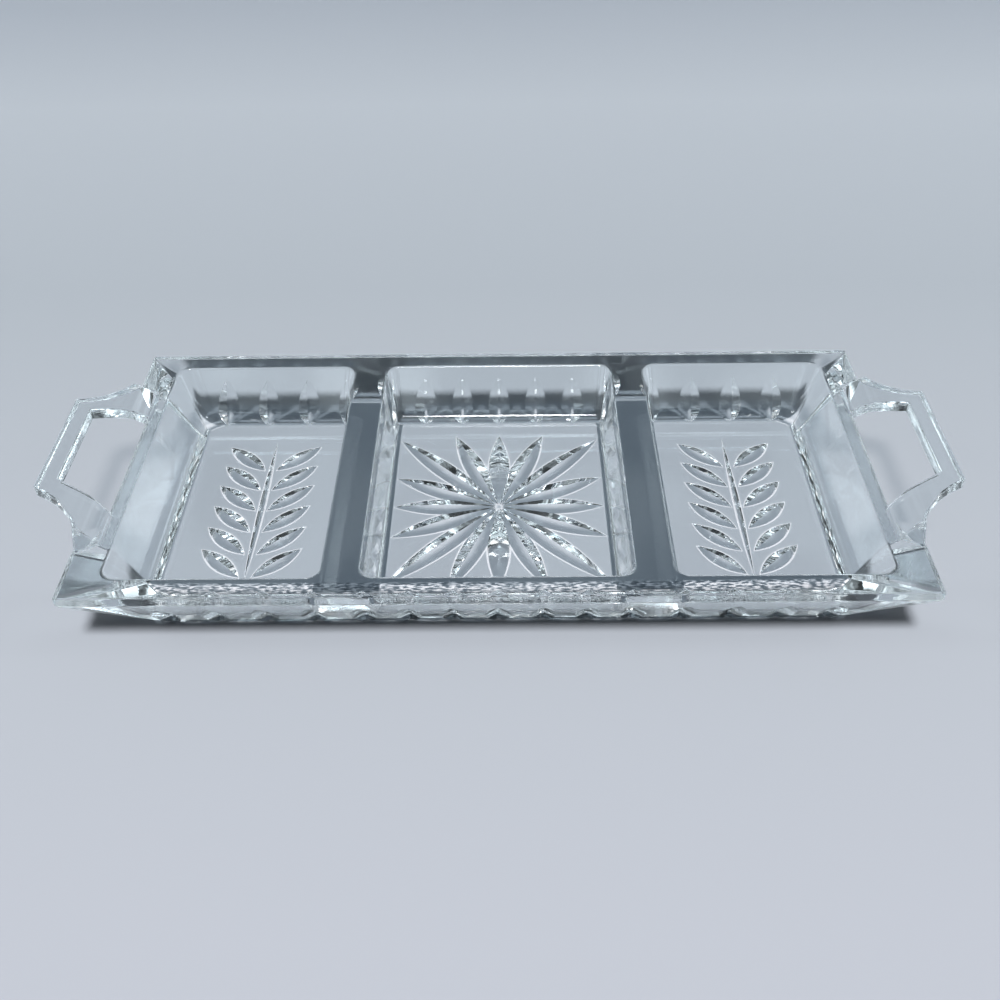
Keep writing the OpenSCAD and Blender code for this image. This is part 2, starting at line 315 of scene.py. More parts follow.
def outer_body():
    """The casting's outside without handles: base, leaning sides, ears and upright edge."""
    outline = {
        "foot": (BASE_X, RECESS_Y, 0),
        "foot_end": (BASE_X, BASE_Y - BASE_FACET, 0),
        "foot_side": (BASE_X - BASE_FACET, BASE_Y, 0),
        "recess_low": (RECESS_X, RECESS_Y, EDGE_Z),
        "tip_low": (RIM_X, EAR_TIP_Y, EDGE_Z),
        "corner_low": (RIM_X, RIM_Y, EDGE_Z),
        "recess_top": (RECESS_X, RECESS_Y, RIM_Z),
        "tip_top": (RIM_X, EAR_TIP_Y, RIM_Z),
        "corner_top": (RIM_X, RIM_Y, RIM_Z),
    }
    quarters = [(1, 1), (-1, 1), (-1, -1), (1, -1)]
    index = {}
    points = []
    for sx, sy in quarters:
        for key, (x, y, z) in outline.items():
            index[key, sx, sy] = len(points)
            points.append((sx * x, sy * y, z))
    faces = []
    for sx, sy in quarters:
        for keys in [
            ("foot", "recess_low", "tip_low"),
            ("foot", "foot_end", "corner_low", "tip_low"),
            ("foot_end", "foot_side", "corner_low"),
            ("recess_low", "tip_low", "tip_top", "recess_top"),
            ("tip_low", "corner_low", "corner_top", "tip_top"),
        ]:
            faces.append([index[key, sx, sy] for key in keys])
    for low, high in [("foot", "recess_low"), ("recess_low", "recess_top")]:
        for sx in (1, -1):
            faces.append([index[low, sx, 1], index[low, sx, -1], index[high, sx, -1], index[high, sx, 1]])
    for low, high in [("foot_side", "corner_low"), ("corner_low", "corner_top")]:
        for sy in (1, -1):
            faces.append([index[low, 1, sy], index[low, -1, sy], index[high, -1, sy], index[high, 1, sy]])
    for keys in [("foot", "foot_end", "foot_side"), ("recess_top", "tip_top", "corner_top")]:
        ring = []
        for i, (sx, sy) in enumerate(quarters):
            ordered = keys if i % 2 == 0 else keys[::-1]
            ring += [index[key, sx, sy] for key in ordered]
        faces.append(ring)
    made = mesh_object("tray_glass", points, faces)
    round_arrises(made, ARRIS_R, ARRIS_LEAST_ANGLE)
    return made


def rounded_rectangle(x0, x1, y, r, z):
    """A ring of points round a rectangle with rounded corners, at height z."""
    ring = []
    corners = [(x1 - r, y - r, 0), (x0 + r, y - r, 90), (x0 + r, r - y, 180), (x1 - r, r - y, 270)]
    for cx, cy, start in corners:
        for i in range(CORNER_STEPS + 1):
            a = math.radians(start + 90 * i / CORNER_STEPS)
            ring.append((cx + r * math.cos(a), cy + r * math.sin(a), z))
    return ring


def compartment(name, rim_xs, leans, coves):
    """The space of a compartment: flat floor, hollow foot, leaning faces and a rounded lip."""
    depth = RIM_Z - FLOOR_Z
    wall_cove = OPENING_Y - WALL_LEAN - FLOOR_Y

    def ring(z, lean_share, cove_share, out, r):
        x0 = rim_xs[0] + leans[0] * lean_share + coves[0] * cove_share - out
        x1 = rim_xs[1] - leans[1] * lean_share - coves[1] * cove_share + out
        y = OPENING_Y - WALL_LEAN * lean_share - wall_cove * cove_share + out
        return rounded_rectangle(x0, x1, y, r, z)

    rings = [ring(RIM_Z + OVERRUN, 0, 0, LIP_R, RIM_CORNER_R + LIP_R)]
    for i in range(LIP_STEPS + 1):
        a = math.pi / 2 * i / LIP_STEPS
        z = RIM_Z - LIP_R + LIP_R * math.cos(a)
        out = LIP_R - LIP_R * math.sin(a)
        rings.append(ring(z, (RIM_Z - z) / depth, 0, out, RIM_CORNER_R + out))
    top_share = (depth - COVE_H) / depth
    middle_r = RIM_CORNER_R + (FLOOR_CORNER_R - RIM_CORNER_R) * top_share
    for i in range(COVE_STEPS + 1):
        s = i / COVE_STEPS
        lean_share = (1 - s) ** 2 * top_share + 2 * s * (1 - s) + s * s
        z = FLOOR_Z + (1 - s) ** 2 * COVE_H
        rings.append(ring(z, lean_share, s * s, 0, middle_r + (FLOOR_CORNER_R - middle_r) * s))
    return loft(name, rings)


def compartments():
    """The three compartments' spaces."""
    centre = compartment(
        "centre_space", (-CENTRE_X, CENTRE_X), (DIVIDER_LEAN, DIVIDER_LEAN), (DIVIDER_COVE, DIVIDER_COVE)
    )
    right = compartment("right_space", (SIDE_X, END_X), (DIVIDER_LEAN, END_LEAN), (DIVIDER_COVE, END_COVE))
    return [centre, right, mirrored(right, "X", "left_space")]


def lens(name, length, width, depth, place, keel=0.0):
    """What a V-edged wheel takes out: a lens along X at z = 0, cut upwards, with or without a flat keel."""
    out = depth / 2
    rings = []
    for i in range(LENS_STEPS + 1):
        t = LENS_END * (2 * i / LENS_STEPS - 1)
        deep = depth * (1 - t * t)
        half = (deep + out) * (width - keel) / (2 * depth) + keel / 2
        x = t * length / 2
        spots = [(x, -half, -out), (x, half, -out), (x, keel / 2, deep)]
        if keel > 0:
            spots.append((x, -keel / 2, deep))
        rings.append([place @ Vector(p) for p in spots])
    return loft(name, rings)


def polished_cut(name, length, width, depth, place):
    """A cut with the soft shoulder that polishing leaves round it."""
    wide = width + 2 * SHOULDER_W
    shoulder = lens(name + "_shoulder", length + 2 * SHOULDER_W, wide, SHOULDER_SLOPE * wide / 2, place)
    return [lens(name, length, width, depth, place), shoulder]


def turned(angle, axis):
    """A turn by an angle round an axis."""
    return Matrix.Rotation(angle, 4, axis)


def moved(x, y, z=0.0):
    """A shift along X, Y and Z."""
    return Matrix.Translation((x, y, z))


def star():
    """The rays of the centre star, in the underside, out to the edges of the floor."""
    reach_x = CENTRE_FLOOR_X - STAR_MARGIN
    reach_y = FLOOR_Y - STAR_MARGIN
    rays = []
    for i in range(RAYS):
        a = i * 2 * math.pi / RAYS
        to_end = reach_x / max(abs(math.cos(a)), LEAST_SLOPE)
        to_wall = reach_y / max(abs(math.sin(a)), LEAST_SLOPE)
        tip = min(to_end, to_wall)
        place = turned(a, "Z") @ moved((HUB_R + tip) / 2, 0)
        rays += polished_cut(f"ray_{i}", tip - HUB_R, RAY_W, RAY_D, place)
    return rays


def laurel(middle_x):
    """A stem with pairs of leaves in the underside of a side floor."""
    cuts = polished_cut("stem", STEM_L, STEM_W, STEM_D, moved(middle_x, 0) @ turned(math.pi / 2, "Z"))
    out = LEAF_GAP + STEM_W / 2
    rise = LEAF_L * math.cos(LEAF_LEAN)
    rows = math.floor((STEM_L - rise) / LEAF_PITCH)
    start_y = -(rows * LEAF_PITCH + rise) / 2
    for i in range(rows + 1):
        for side in (-1, 1):
            place = moved(middle_x + side * out, start_y + i * LEAF_PITCH)
            place = place @ turned(math.pi / 2 - side * LEAF_LEAN, "Z") @ moved(LEAF_L / 2, 0)
            cuts += polished_cut("leaf", LEAF_L, LEAF_W, LEAF_D, place)
    return cuts


def pitch_turn():
    """How many flutes stand on each side of the middle one before the pitch changes under the divider."""
    return math.floor((CENTRE_X + SIDE_X) / 2 / FLUTE_PITCH)


def flute_places():
    """Where the flutes stand along a wall: one pitch to the dividers, another from there to the end."""
    reach = pitch_turn()
    turn_x = reach * FLUTE_PITCH
    side_count = math.floor((END_FLOOR_X - FLUTE_W / 2 - turn_x) / SIDE_FLUTE_PITCH)
    places = [i * FLUTE_PITCH for i in range(-reach, reach + 1)]
    for i in range(1, side_count + 1):
        places += [turn_x + i * SIDE_FLUTE_PITCH, -turn_x - i * SIDE_FLUTE_PITCH]
    return places


def flutes(side):
    """The upright flutes in the outside of a long wall."""
    lean = math.atan2(RIM_Y - BASE_Y, EDGE_Z)
    length = EDGE_Z / math.cos(lean) - FLUTE_GAP + FLUTE_RUNOUT
    middle = length / 2 - FLUTE_RUNOUT
    cuts = []
    for x in flute_places():
        place = moved(x, BASE_Y + middle * math.sin(lean), middle * math.cos(lean))
        place = place @ turned(math.pi / 2, "Z") @ turned(lean - math.pi / 2, "Y")
        if side < 0:
            place = turned(math.pi, "Z") @ place
        cuts.append(lens("flute", length, FLUTE_W, FLUTE_D, place, FLUTE_KEEL))
    return cuts


def hermite(x, x0, x1, z0, z1, slope0, slope1):
    """A height on a smooth curve between two places with given slopes."""
    t = (x - x0) / (x1 - x0)
    run = x1 - x0
    return (
        (2 * t**3 - 3 * t * t + 1) * z0
        + (t**3 - 2 * t * t + t) * run * slope0
        + (3 * t * t - 2 * t**3) * z1
        + (t**3 - t * t) * run * slope1
    )


def handle_z(x):
    """Height of a handle's top at x: steep out of the recess, then gently rising."""
    if x < KNEE_X:
        return hermite(max(x, RECESS_X), RECESS_X, KNEE_X, RIM_Z, KNEE_Z, ROOT_SLOPE, KNEE_SLOPE)
    return hermite(x, KNEE_X, GRIP_X, KNEE_Z, GRIP_Z, KNEE_SLOPE, GRIP_SLOPE)


def hole_y(x):
    """Half the width of a finger hole at x."""
    share = (x - RECESS_X) / (HOLE_X - RECESS_X)
    return HOLE_ROOT_Y + (HOLE_Y - HOLE_ROOT_Y) * share


def side_curve(steps):
    """The hollow side edge of a handle, from its bend to its outer corner."""
    start = np.array([KNEE_X, KNEE_Y])
    end = np.array([GRIP_X, GRIP_Y])
    half = np.linalg.norm(end - start) / 2
    along = (end - start) / (2 * half)
    across = np.array([-along[1], along[0]])
    centre = (start + end) / 2 + across * math.sqrt(SIDE_R**2 - half**2)
    a0 = math.atan2(*(start - centre)[::-1])
    a1 = math.atan2(*(end - centre)[::-1])
    return [centre + SIDE_R * np.array([math.cos(a), math.sin(a)]) for a in np.linspace(a0, a1, steps + 1)]


def right_handle():
    """The handle at +X, swept from its front root over the bar to its back root."""
    half = []
    for i in range(ROOT_STEPS):
        x = RECESS_X - ROOT_LAP + (KNEE_OUT + ROOT_LAP) * i / ROOT_STEPS
        outer_y = RECESS_Y - KNEE_INSET * (x - RECESS_X) / KNEE_OUT
        half.append(((x, outer_y), (x, hole_y(x))))
    for i, outer in enumerate(side_curve(SIDE_STEPS)):
        x = KNEE_X + (HOLE_X - KNEE_X) * i / SIDE_STEPS
        half.append((tuple(outer), (x, hole_y(x))))
    half.append(((GRIP_X, GRIP_Y / 2), (HOLE_X, HOLE_Y / 2)))
    whole = [((ox, -oy), (ix, -iy)) for (ox, oy), (ix, iy) in half] + half[::-1]
    rings = []
    for (ox, oy), (ix, iy) in whole:
        oz, iz = handle_z(ox), handle_z(ix)
        rings.append([(ox, oy, oz), (ix, iy, iz), (ix, iy, iz - HANDLE_T), (ox, oy, oz - HANDLE_T)])
    made = loft("handle", rings)
    round_arrises(made, HANDLE_ARRIS_R, HANDLE_LEAST_ANGLE)
    return made


def gusset(sx, sy):
    """The three-sided facet between a handle's bend, the recess and the ear."""
    inner_y = HOLE_ROOT_Y + ROOT_LAP
    spots = [
        (RECESS_X - ROOT_LAP, RECESS_Y + ROOT_LAP, RIM_Z - ARRIS_R),
        (RECESS_X - ROOT_LAP, RECESS_Y + ROOT_LAP, EDGE_Z + ARRIS_R),
        (RECESS_X, RECESS_Y, RIM_Z - ARRIS_R / 2),
        (RIM_X - ARRIS_R, EAR_TIP_Y + ARRIS_R, RIM_Z - ARRIS_R / 2),
        (RIM_X - ARRIS_R, EAR_TIP_Y + ARRIS_R, EDGE_Z + ARRIS_R),
        (KNEE_X, KNEE_Y, KNEE_Z - ARRIS_R),
        (KNEE_X, KNEE_Y, KNEE_Z - HANDLE_T + ARRIS_R),
        (KNEE_X, KNEE_Y - 3 * ARRIS_R, KNEE_Z - ARRIS_R),
        (RECESS_X, inner_y, RIM_Z - ARRIS_R),
        (RECESS_X, inner_y, EDGE_Z + ARRIS_R),
    ]
    work = bmesh.new()
    for x, y, z in spots:
        work.verts.new((sx * x, sy * y, z))
    bmesh.ops.convex_hull(work, input=work.verts)
    mesh = bpy.data.meshes.new("gusset")
    work.to_mesh(mesh)
    work.free()
    return new_object("gusset", mesh)


def weld(made):
    """Merges the points that the cuts left all but in one place."""
    work = bmesh.new()
    work.from_mesh(made.data)
    bmesh.ops.remove_doubles(work, verts=work.verts, dist=WELD)
    bmesh.ops.dissolve_degenerate(work, edges=work.edges, dist=WELD)
    work.to_mesh(made.data)
    work.free()


def flat_areas(work):
    """The number of the flat area that each face of a mesh lies in, and the size of each such area."""
    leader = list(range(len(work.faces)))

    def find(i):
        while leader[i] != i:
            leader[i] = leader[leader[i]]
            i = leader[i]
        return i

    for edge in work.edges:
        if len(edge.link_faces) != 2:
            continue
        one, other = edge.link_faces
        if one.normal.angle(other.normal, 1) < FLAT_ANGLE:
            leader[find(one.index)] = find(other.index)
    area_of = [find(i) for i in range(len(leader))]
    size = {}
    for f in work.faces:
        area = area_of[f.index]
        size[area] = size.get(area, 0) + f.calc_area()
    return area_of, size


def smooth_normals(made, most_angle):
    """Gives each face corner the mean normal of its smooth neighbours, by the sizes of their flat areas."""
    mesh = made.data
    work = bmesh.new()
    work.from_mesh(mesh)
    work.faces.ensure_lookup_table()
    area_of, size = flat_areas(work)
    least = math.cos(most_angle)
    normals = []
    for f in work.faces:
        for loop in f.loops:
            total = Vector((0, 0, 0))
            done = set()
            for other in loop.vert.link_faces:
                area = area_of[other.index]
                if area in done or other.normal.dot(f.normal) < least:
                    continue
                done.add(area)
                total += other.normal * size[area]
            normals.append(total.normalized() if total.length > 0 else f.normal.copy())
    work.free()
    mesh.polygons.foreach_set("use_smooth", [True] * len(mesh.polygons))
    mesh.normals_split_custom_set(normals)


def build_tray():
    """The whole tray as one closed mesh."""
    tray = outer_body()
    handle = right_handle()
    for part in (handle, mirrored(handle, "X", "left_handle_bar")):
        combine(tray, part, "UNION")
    for sx in (-1, 1):
        for sy in (-1, 1):
            combine(tray, gusset(sx, sy), "UNION")
    for space in compartments():
        combine(tray, space, "DIFFERENCE")
    side_middle_x = (SIDE_FLOOR_X + END_FLOOR_X) / 2
    cuts = star() + laurel(side_middle_x) + laurel(-side_middle_x) + flutes(1) + flutes(-1)
    for cut in cuts:
        combine(tray, cut, "DIFFERENCE")
    weld(tray)
    smooth_normals(tray, SOFT_EDGE_ANGLE)
    return tray


def math_step(tree, operation, first, second=0.0):
    """The result of one Math node whose inputs are numbers or other results."""
    step = tree.nodes.new("ShaderNodeMath")
    step.operation = operation
    for socket, value in zip(step.inputs, (first, second)):
        if isinstance(value, bpy.types.NodeSocket):
            tree.links.new(value, socket)
        else:
            socket.default_value = value
    return step.outputs[0]


def map_step(tree, value, low, high, to_low=0.0, to_high=1.0):
    """A value's smooth way from to_low at low to to_high at high."""
    step = tree.nodes.new("ShaderNodeMapRange")
    step.interpolation_type = "SMOOTHSTEP"
    for name, number in zip(("From Min", "From Max", "To Min", "To Max"), (low, high, to_low, to_high)):
        step.inputs[name].default_value = number
    tree.links.new(value, step.inputs["Value"])
    return step.outputs["Result"]


def between(tree, value, low, high):
    """1 where a value lies between two numbers, and 0 elsewhere."""
    above = math_step(tree, "GREATER_THAN", value, low)
    return math_step(tree, "MULTIPLY", above, math_step(tree, "LESS_THAN", value, high))


def xyz(tree, vector):
    """The three parts of a vector."""
    split = tree.nodes.new("ShaderNodeSeparateXYZ")
    tree.links.new(vector, split.inputs[0])
    return split.outputs["X"], split.outputs["Y"], split.outputs["Z"]


def noise_at(tree, vector, scale, detail):
    """A soft noise from 0 to 1 at a place, whose scale is a number or another result."""
    noise = tree.nodes.new("ShaderNodeTexNoise")
    noise.inputs["Detail"].default_value = detail
    tree.links.new(vector, noise.inputs["Vector"])
    if isinstance(scale, bpy.types.NodeSocket):
        tree.links.new(scale, noise.inputs["Scale"])
    else:
        noise.inputs["Scale"].default_value = scale
    return noise.outputs["Fac"]


def waviness_group():
    """The unevenness of pressed glass, as a height: faint on the broad faces and lively elsewhere."""
    group = bpy.data.node_groups.new("pressed_glass_waviness", "ShaderNodeTree")
    for name in WAVINESS:
        group.interface.new_socket(name, in_out="INPUT", socket_type="NodeSocketFloat")
    group.interface.new_socket("Height", in_out="OUTPUT", socket_type="NodeSocketFloat")
    entry = group.nodes.new("NodeGroupInput")
    result = group.nodes.new("NodeGroupOutput")
    place = group.nodes.new("ShaderNodeTexCoord").outputs["Object"]
    surface = group.nodes.new("ShaderNodeNewGeometry")
    step = partial(math_step, group)
    ripple = noise_at(group, place, entry.outputs["Ripple size"], 1)
    grain = noise_at(group, place, entry.outputs["Grain size"], 2)
    glitter = noise_at(group, place, entry.outputs["Glitter size"], 1)
    face_up = xyz(group, surface.outputs["True Normal"])[2]
    lively = step("MULTIPLY", between(group, face_up, *LIVELY_FACES), entry.outputs["Glitter"])
    height = step("ADD", ripple, step("MULTIPLY", grain, GRAIN_PART))
    height = step("ADD", height, step("MULTIPLY", glitter, lively))
    group.links.new(height, result.inputs["Height"])
    return group


# What the glass shading reads at a point: its place, Y and height, its distances across and along from the
# middle, how far its face looks up, and how far a leaning wall has come outwards at its height
GlassSpot = namedtuple("GlassSpot", "place y height across along face_up rise")


def glass_spot(tree):
    """The point of the glass that is shaded, as results in a material."""
    place = tree.nodes.new("ShaderNodeTexCoord").outputs["Object"]
    surface = tree.nodes.new("ShaderNodeNewGeometry")
    x, y, height = xyz(tree, place)
    return GlassSpot(
        place=place,
        y=y,
        height=height,
        across=math_step(tree, "ABSOLUTE", x),
        along=math_step(tree, "ABSOLUTE", y),
        face_up=xyz(tree, surface.outputs["True Normal"])[2],
        rise=math_step(tree, "MULTIPLY", height, WALL_SLOPE),
    )


def in_divider(tree, spot):
    """1 in the dividers and in the walls behind and before them."""
    return between(tree, spot.across, CENTRE_FLOOR_X, SIDE_FLOOR_X)


def thick_loss(tree, spot):
    """The light that thick glass holds back, under the dividers and the front wall."""
    step = partial(math_step, tree)
    front_wall = map_step(tree, spot.y, -FLOOR_Y - DARK_STRIP_W, -FLOOR_Y - DARK_STRIP_FULL_W)
    front_wall = step("MULTIPLY", front_wall, step("LESS_THAN", spot.y, -FLOOR_Y))
    thick = step("MAXIMUM", in_divider(tree, spot), front_wall)
    thick = step("MULTIPLY", thick, step("LESS_THAN", spot.along, BASE_Y - 2 * ARRIS_R))
    trapped = step("MULTIPLY", thick, step("LESS_THAN", spot.height, SKIN))
    return step("MULTIPLY", trapped, 1 - THICK_SHARE)


def light_streaks(tree, spot):
    """Streaks of light that cross between the flutes, up from each flute's foot."""
    step = partial(math_step, tree)
    turn_x = pitch_turn() * FLUTE_PITCH
    from_flute = step("PINGPONG", step("MINIMUM", spot.across, turn_x), FLUTE_PITCH / 2)
    past_turn = step("MAXIMUM", step("SUBTRACT", spot.across, turn_x), 0.0)
    from_flute = step("ADD", from_flute, step("PINGPONG", past_turn, SIDE_FLUTE_PITCH / 2))
    off_streak = step("ABSOLUTE", step("SUBTRACT", from_flute, step("MULTIPLY", spot.height, STREAK_SLOPE)))
    streak = map_step(tree, off_streak, 0.0, STREAK_W, STREAK_SHARE, 0.0)
    return step("MULTIPLY", streak, step("LESS_THAN", spot.height, RIM_SHADE_Z))


def on_long_side(tree, spot):
    """1 on the leaning outer faces of the long walls and outside them, and 0 inside."""
    middle_y = math_step(tree, "ADD", spot.rise, (FLOOR_Y + BASE_Y) / 2)
    return math_step(tree, "GREATER_THAN", spot.along, middle_y)


def turned_back(tree, spot):
    """How far the outer faces turn slanting light back, only in part at the ends and handles."""
    step = partial(math_step, tree)
    at_end = step("GREATER_THAN", spot.across, step("ADD", spot.rise, (END_FLOOR_X + BASE_X) / 2))
    end_part = step("MULTIPLY", step("LESS_THAN", spot.height, EDGE_Z), END_PART - HANDLE_PART)
    end_part = step("ADD", end_part, HANDLE_PART)
    end_part = step("MAXIMUM", end_part, step("LESS_THAN", spot.y, -RECESS_Y - ARRIS_R))
    outside = step("MAXIMUM", on_long_side(tree, spot), step("MULTIPLY", at_end, end_part))
    outside = step("MULTIPLY", outside, step("GREATER_THAN", spot.height, SKIN))
    front_foot = step("MULTIPLY", step("LESS_THAN", spot.height, FOOT_H), step("LESS_THAN", spot.y, 0.0))
    facing = tree.nodes.new("ShaderNodeLayerWeight").outputs["Facing"]
    slanting = step("MAXIMUM", map_step(tree, facing, *TURNED_FACINGS), front_foot)
    return step("MULTIPLY", outside, slanting)


def back_wall_glow(tree, spot):
    """What the back wall lets by beside the dividers: a faint glow, light under the flutes and streaks."""
    step = partial(math_step, tree)
    flute_depth = step("SUBTRACT", step("ADD", spot.rise, BASE_Y), spot.along)
    flute_depth = step("MULTIPLY", flute_depth, on_long_side(tree, spot))
    glow = step("MULTIPLY", map_step(tree, flute_depth, FLUTE_LIT_D, FLUTE_D), FLUTE_SHARE)
    glow = step("ADD", glow, light_streaks(tree, spot))
    shade_edges = (RIM_SHADE_Z - RIM_SHADE_EDGE, RIM_SHADE_Z + RIM_SHADE_EDGE)
    glow = step("ADD", glow, map_step(tree, spot.height, *shade_edges, WALL_SHARE, 0.0))
    beside_dividers = step("SUBTRACT", 1.0, in_divider(tree, spot))
    at_back = step("MULTIPLY", step("GREATER_THAN", spot.y, 0.0), beside_dividers)
    return step("MULTIPLY", at_back, glow)


def outside_loss(tree, spot):
    """The light that the outer faces turn back, less what they let by."""
    step = partial(math_step, tree)
    let_by = step("ADD", OUTSIDE_SHARE, back_wall_glow(tree, spot))
    return step("MULTIPLY", turned_back(tree, spot), step("SUBTRACT", CLEAR_SHARE, let_by))


def cut_loss(tree, spot):
    """The light that the cuts spread, less what they gather under their keels and along their outlines."""
    step = partial(math_step, tree)
    side = between(tree, spot.face_up, *SIDE_FACES)
    side = step("MULTIPLY", side, step("LESS_THAN", spot.height, RAY_D + SKIN))
    spread = step("MULTIPLY", side, map_step(tree, spot.height, RAY_D / 3, RAY_D, 1 - CUT_SHARE, -KEEL_GAIN))
    shoulder = between(tree, spot.face_up, *SHOULDER_FACES)
    shoulder = step("MULTIPLY", shoulder, step("LESS_THAN", spot.height, SKIN / 2))
    return step("SUBTRACT", spread, step("MULTIPLY", shoulder, OUTLINE_GAIN))


def bright_threads(tree, spot):
    """Threads of gathered light under the outer side of the front wall, and 1 elsewhere."""
    step = partial(math_step, tree)
    stretched = tree.nodes.new("ShaderNodeVectorMath")
    stretched.operation = "MULTIPLY"
    stretched.inputs[1].default_value = THREAD_STRETCH
    tree.links.new(spot.place, stretched.inputs[0])
    threads = noise_at(tree, stretched.outputs[0], THREAD_SCALE, 1)
    gain = step("SUBTRACT", map_step(tree, threads, *THREAD_EDGES, *THREAD_SHARES), 1.0)
    in_front = step("LESS_THAN", spot.y, -FLOOR_Y - THREADS_START)
    under_wall = step("MULTIPLY", in_front, step("LESS_THAN", spot.height, SKIN))
    return step("ADD", 1.0, step("MULTIPLY", under_wall, gain))


def light_share(tree):
    """How much lamp light each face of the casting passes on, as a colour, tinted where less gets by."""
    step = partial(math_step, tree)
    spot = glass_spot(tree)
    loss = step("ADD", thick_loss(tree, spot), outside_loss(tree, spot))
    loss = step("ADD", loss, cut_loss(tree, spot))
    share = step("MAXIMUM", step("SUBTRACT", CLEAR_SHARE, loss), 0.0)
    share = step("MULTIPLY", share, bright_threads(tree, spot))
    tinted = tree.nodes.new("ShaderNodeCombineColor")
    for channel, power in zip(("Red", "Green", "Blue"), TINT_POWERS):
        tree.links.new(step("POWER", share, power), tinted.inputs[channel])
    return tinted.outputs["Color"]


def painted_foot_shade(tree):
    """The glass colour with painted shade: near black at the foot of the front outer wall, which only sees
    the dark gap under it.
    """
    place = tree.nodes.new("ShaderNodeTexCoord")
    y, height = xyz(tree, place.outputs["Object"])[1:]
    outer = math_step(tree, "LESS_THAN", y, ARRIS_R - BASE_Y)
    low = map_step(tree, height, *FOOT_SHADE_HEIGHTS, 1.0, 0.0)
    # Colour B is the painted shade at the front foot
    mix = tree.nodes.new("ShaderNodeMix")
    mix.data_type = "RGBA"
    mix.inputs["A"].default_value = (*GLASS_TINT, 1)
    mix.inputs["B"].default_value = (*FOOT_PAINTED_SHADE, 1)
    tree.links.new(math_step(tree, "MULTIPLY", outer, low), mix.inputs["Factor"])
    return mix.outputs["Result"]


def let_light_through(material, shader):
    """Lets lamp light and bounced light pass straight through the glass, by its light share."""
    tree = material.node_tree
    through = tree.nodes.new("ShaderNodeBsdfTransparent")
    tree.links.new(light_share(tree), through.inputs["Color"])
    path = tree.nodes.new("ShaderNodeLightPath")
    last = shader.outputs[0]
    for ray in ("Is Shadow Ray", "Is Diffuse Ray"):
        mix = tree.nodes.new("ShaderNodeMixShader")
        tree.links.new(path.outputs[ray], mix.inputs[0])
        tree.links.new(last, mix.inputs[1])
        tree.links.new(through.outputs[0], mix.inputs[2])
        last = mix.outputs[0]
    tree.links.new(last, tree.nodes["Material Output"].inputs["Surface"])


def crystal():
    """Clear cut crystal, with a trace of cool tint."""
    material = bpy.data.materials.new("clear_crystal")
    material.use_nodes = True
    nodes, links = material.node_tree.nodes, material.node_tree.links
    shader = nodes["Principled BSDF"]
    # Base Color carries painted shade at the foot of the front outer wall
    links.new(painted_foot_shade(material.node_tree), shader.inputs["Base Color"])
    shader.inputs["Roughness"].default_value = 0.0
    shader.inputs["IOR"].default_value = CRYSTAL_IOR
    shader.inputs["Transmission Weight"].default_value = 1.0
    waves = nodes.new("ShaderNodeGroup")
    waves.node_tree = waviness_group()
    for name, value in WAVINESS.items():
        waves.inputs[name].default_value = value
    bump = nodes.new("ShaderNodeBump")
    bump.inputs["Strength"].default_value = WAVE_STRENGTH
    bump.inputs["Distance"].default_value = WAVE_H
    links.new(waves.outputs["Height"], bump.inputs["Height"])
    links.new(bump.outputs["Normal"], shader.inputs["Normal"])
    let_light_through(material, shader)
    return material


def table_tone(tree):
    """The table's colour, darker far away."""
    first_y, last_y = TABLE_TONES[0][0], TABLE_TONES[-1][0]
    place = tree.nodes.new("ShaderNodeTexCoord")
    along = tree.nodes.new("ShaderNodeMapRange")
    along.inputs["From Min"].default_value = first_y
    along.inputs["From Max"].default_value = last_y
    tree.links.new(xyz(tree, place.outputs["Object"])[1], along.inputs["Value"])
    ramp = tree.nodes.new("ShaderNodeValToRGB")
    stops = ramp.color_ramp.elements
    for y, _ in TABLE_TONES[1:-1]:
        stops.new((y - first_y) / (last_y - first_y))
    for stop, (_, tone) in zip(stops, TABLE_TONES):
        stop.color = (*tone, 1)
    tree.links.new(along.outputs["Result"], ramp.inputs["Fac"])
    return ramp.outputs["Color"]


def clear_from_below(tree, shader):
    """Shows a shader on the upper side of a face, and nothing on its lower side."""
    surface = tree.nodes.new("ShaderNodeNewGeometry")
    clear = tree.nodes.new("ShaderNodeBsdfTransparent")
    sides = tree.nodes.new("ShaderNodeMixShader")
    tree.links.new(surface.outputs["Backfacing"], sides.inputs[0])
    tree.links.new(shader.outputs[0], sides.inputs[1])
    tree.links.new(clear.outputs[0], sides.inputs[2])
    tree.links.new(sides.outputs[0], tree.nodes["Material Output"].inputs["Surface"])


def table_top():
    """The pale grey-blue surface that the tray stands on, clear from below."""
    quarters = [(-1, -1), (1, -1), (1, 1), (-1, 1)]
    corners = [(sx * TABLE_REACH, sy * TABLE_REACH, -TABLE_GAP) for sx, sy in quarters]
    made = mesh_object("table_top", corners, [[0, 1, 2, 3]])
    material = bpy.data.materials.new("pale_table")
    material.use_nodes = True
    tree = material.node_tree
    shader = tree.nodes["Principled BSDF"]
    tree.links.new(table_tone(tree), shader.inputs["Base Color"])
    shader.inputs["Roughness"].default_value = TABLE_ROUGHNESS
    shader.inputs["Specular IOR Level"].default_value = TABLE_SHINE
    clear_from_below(tree, shader)
    made.data.materials.append(material)


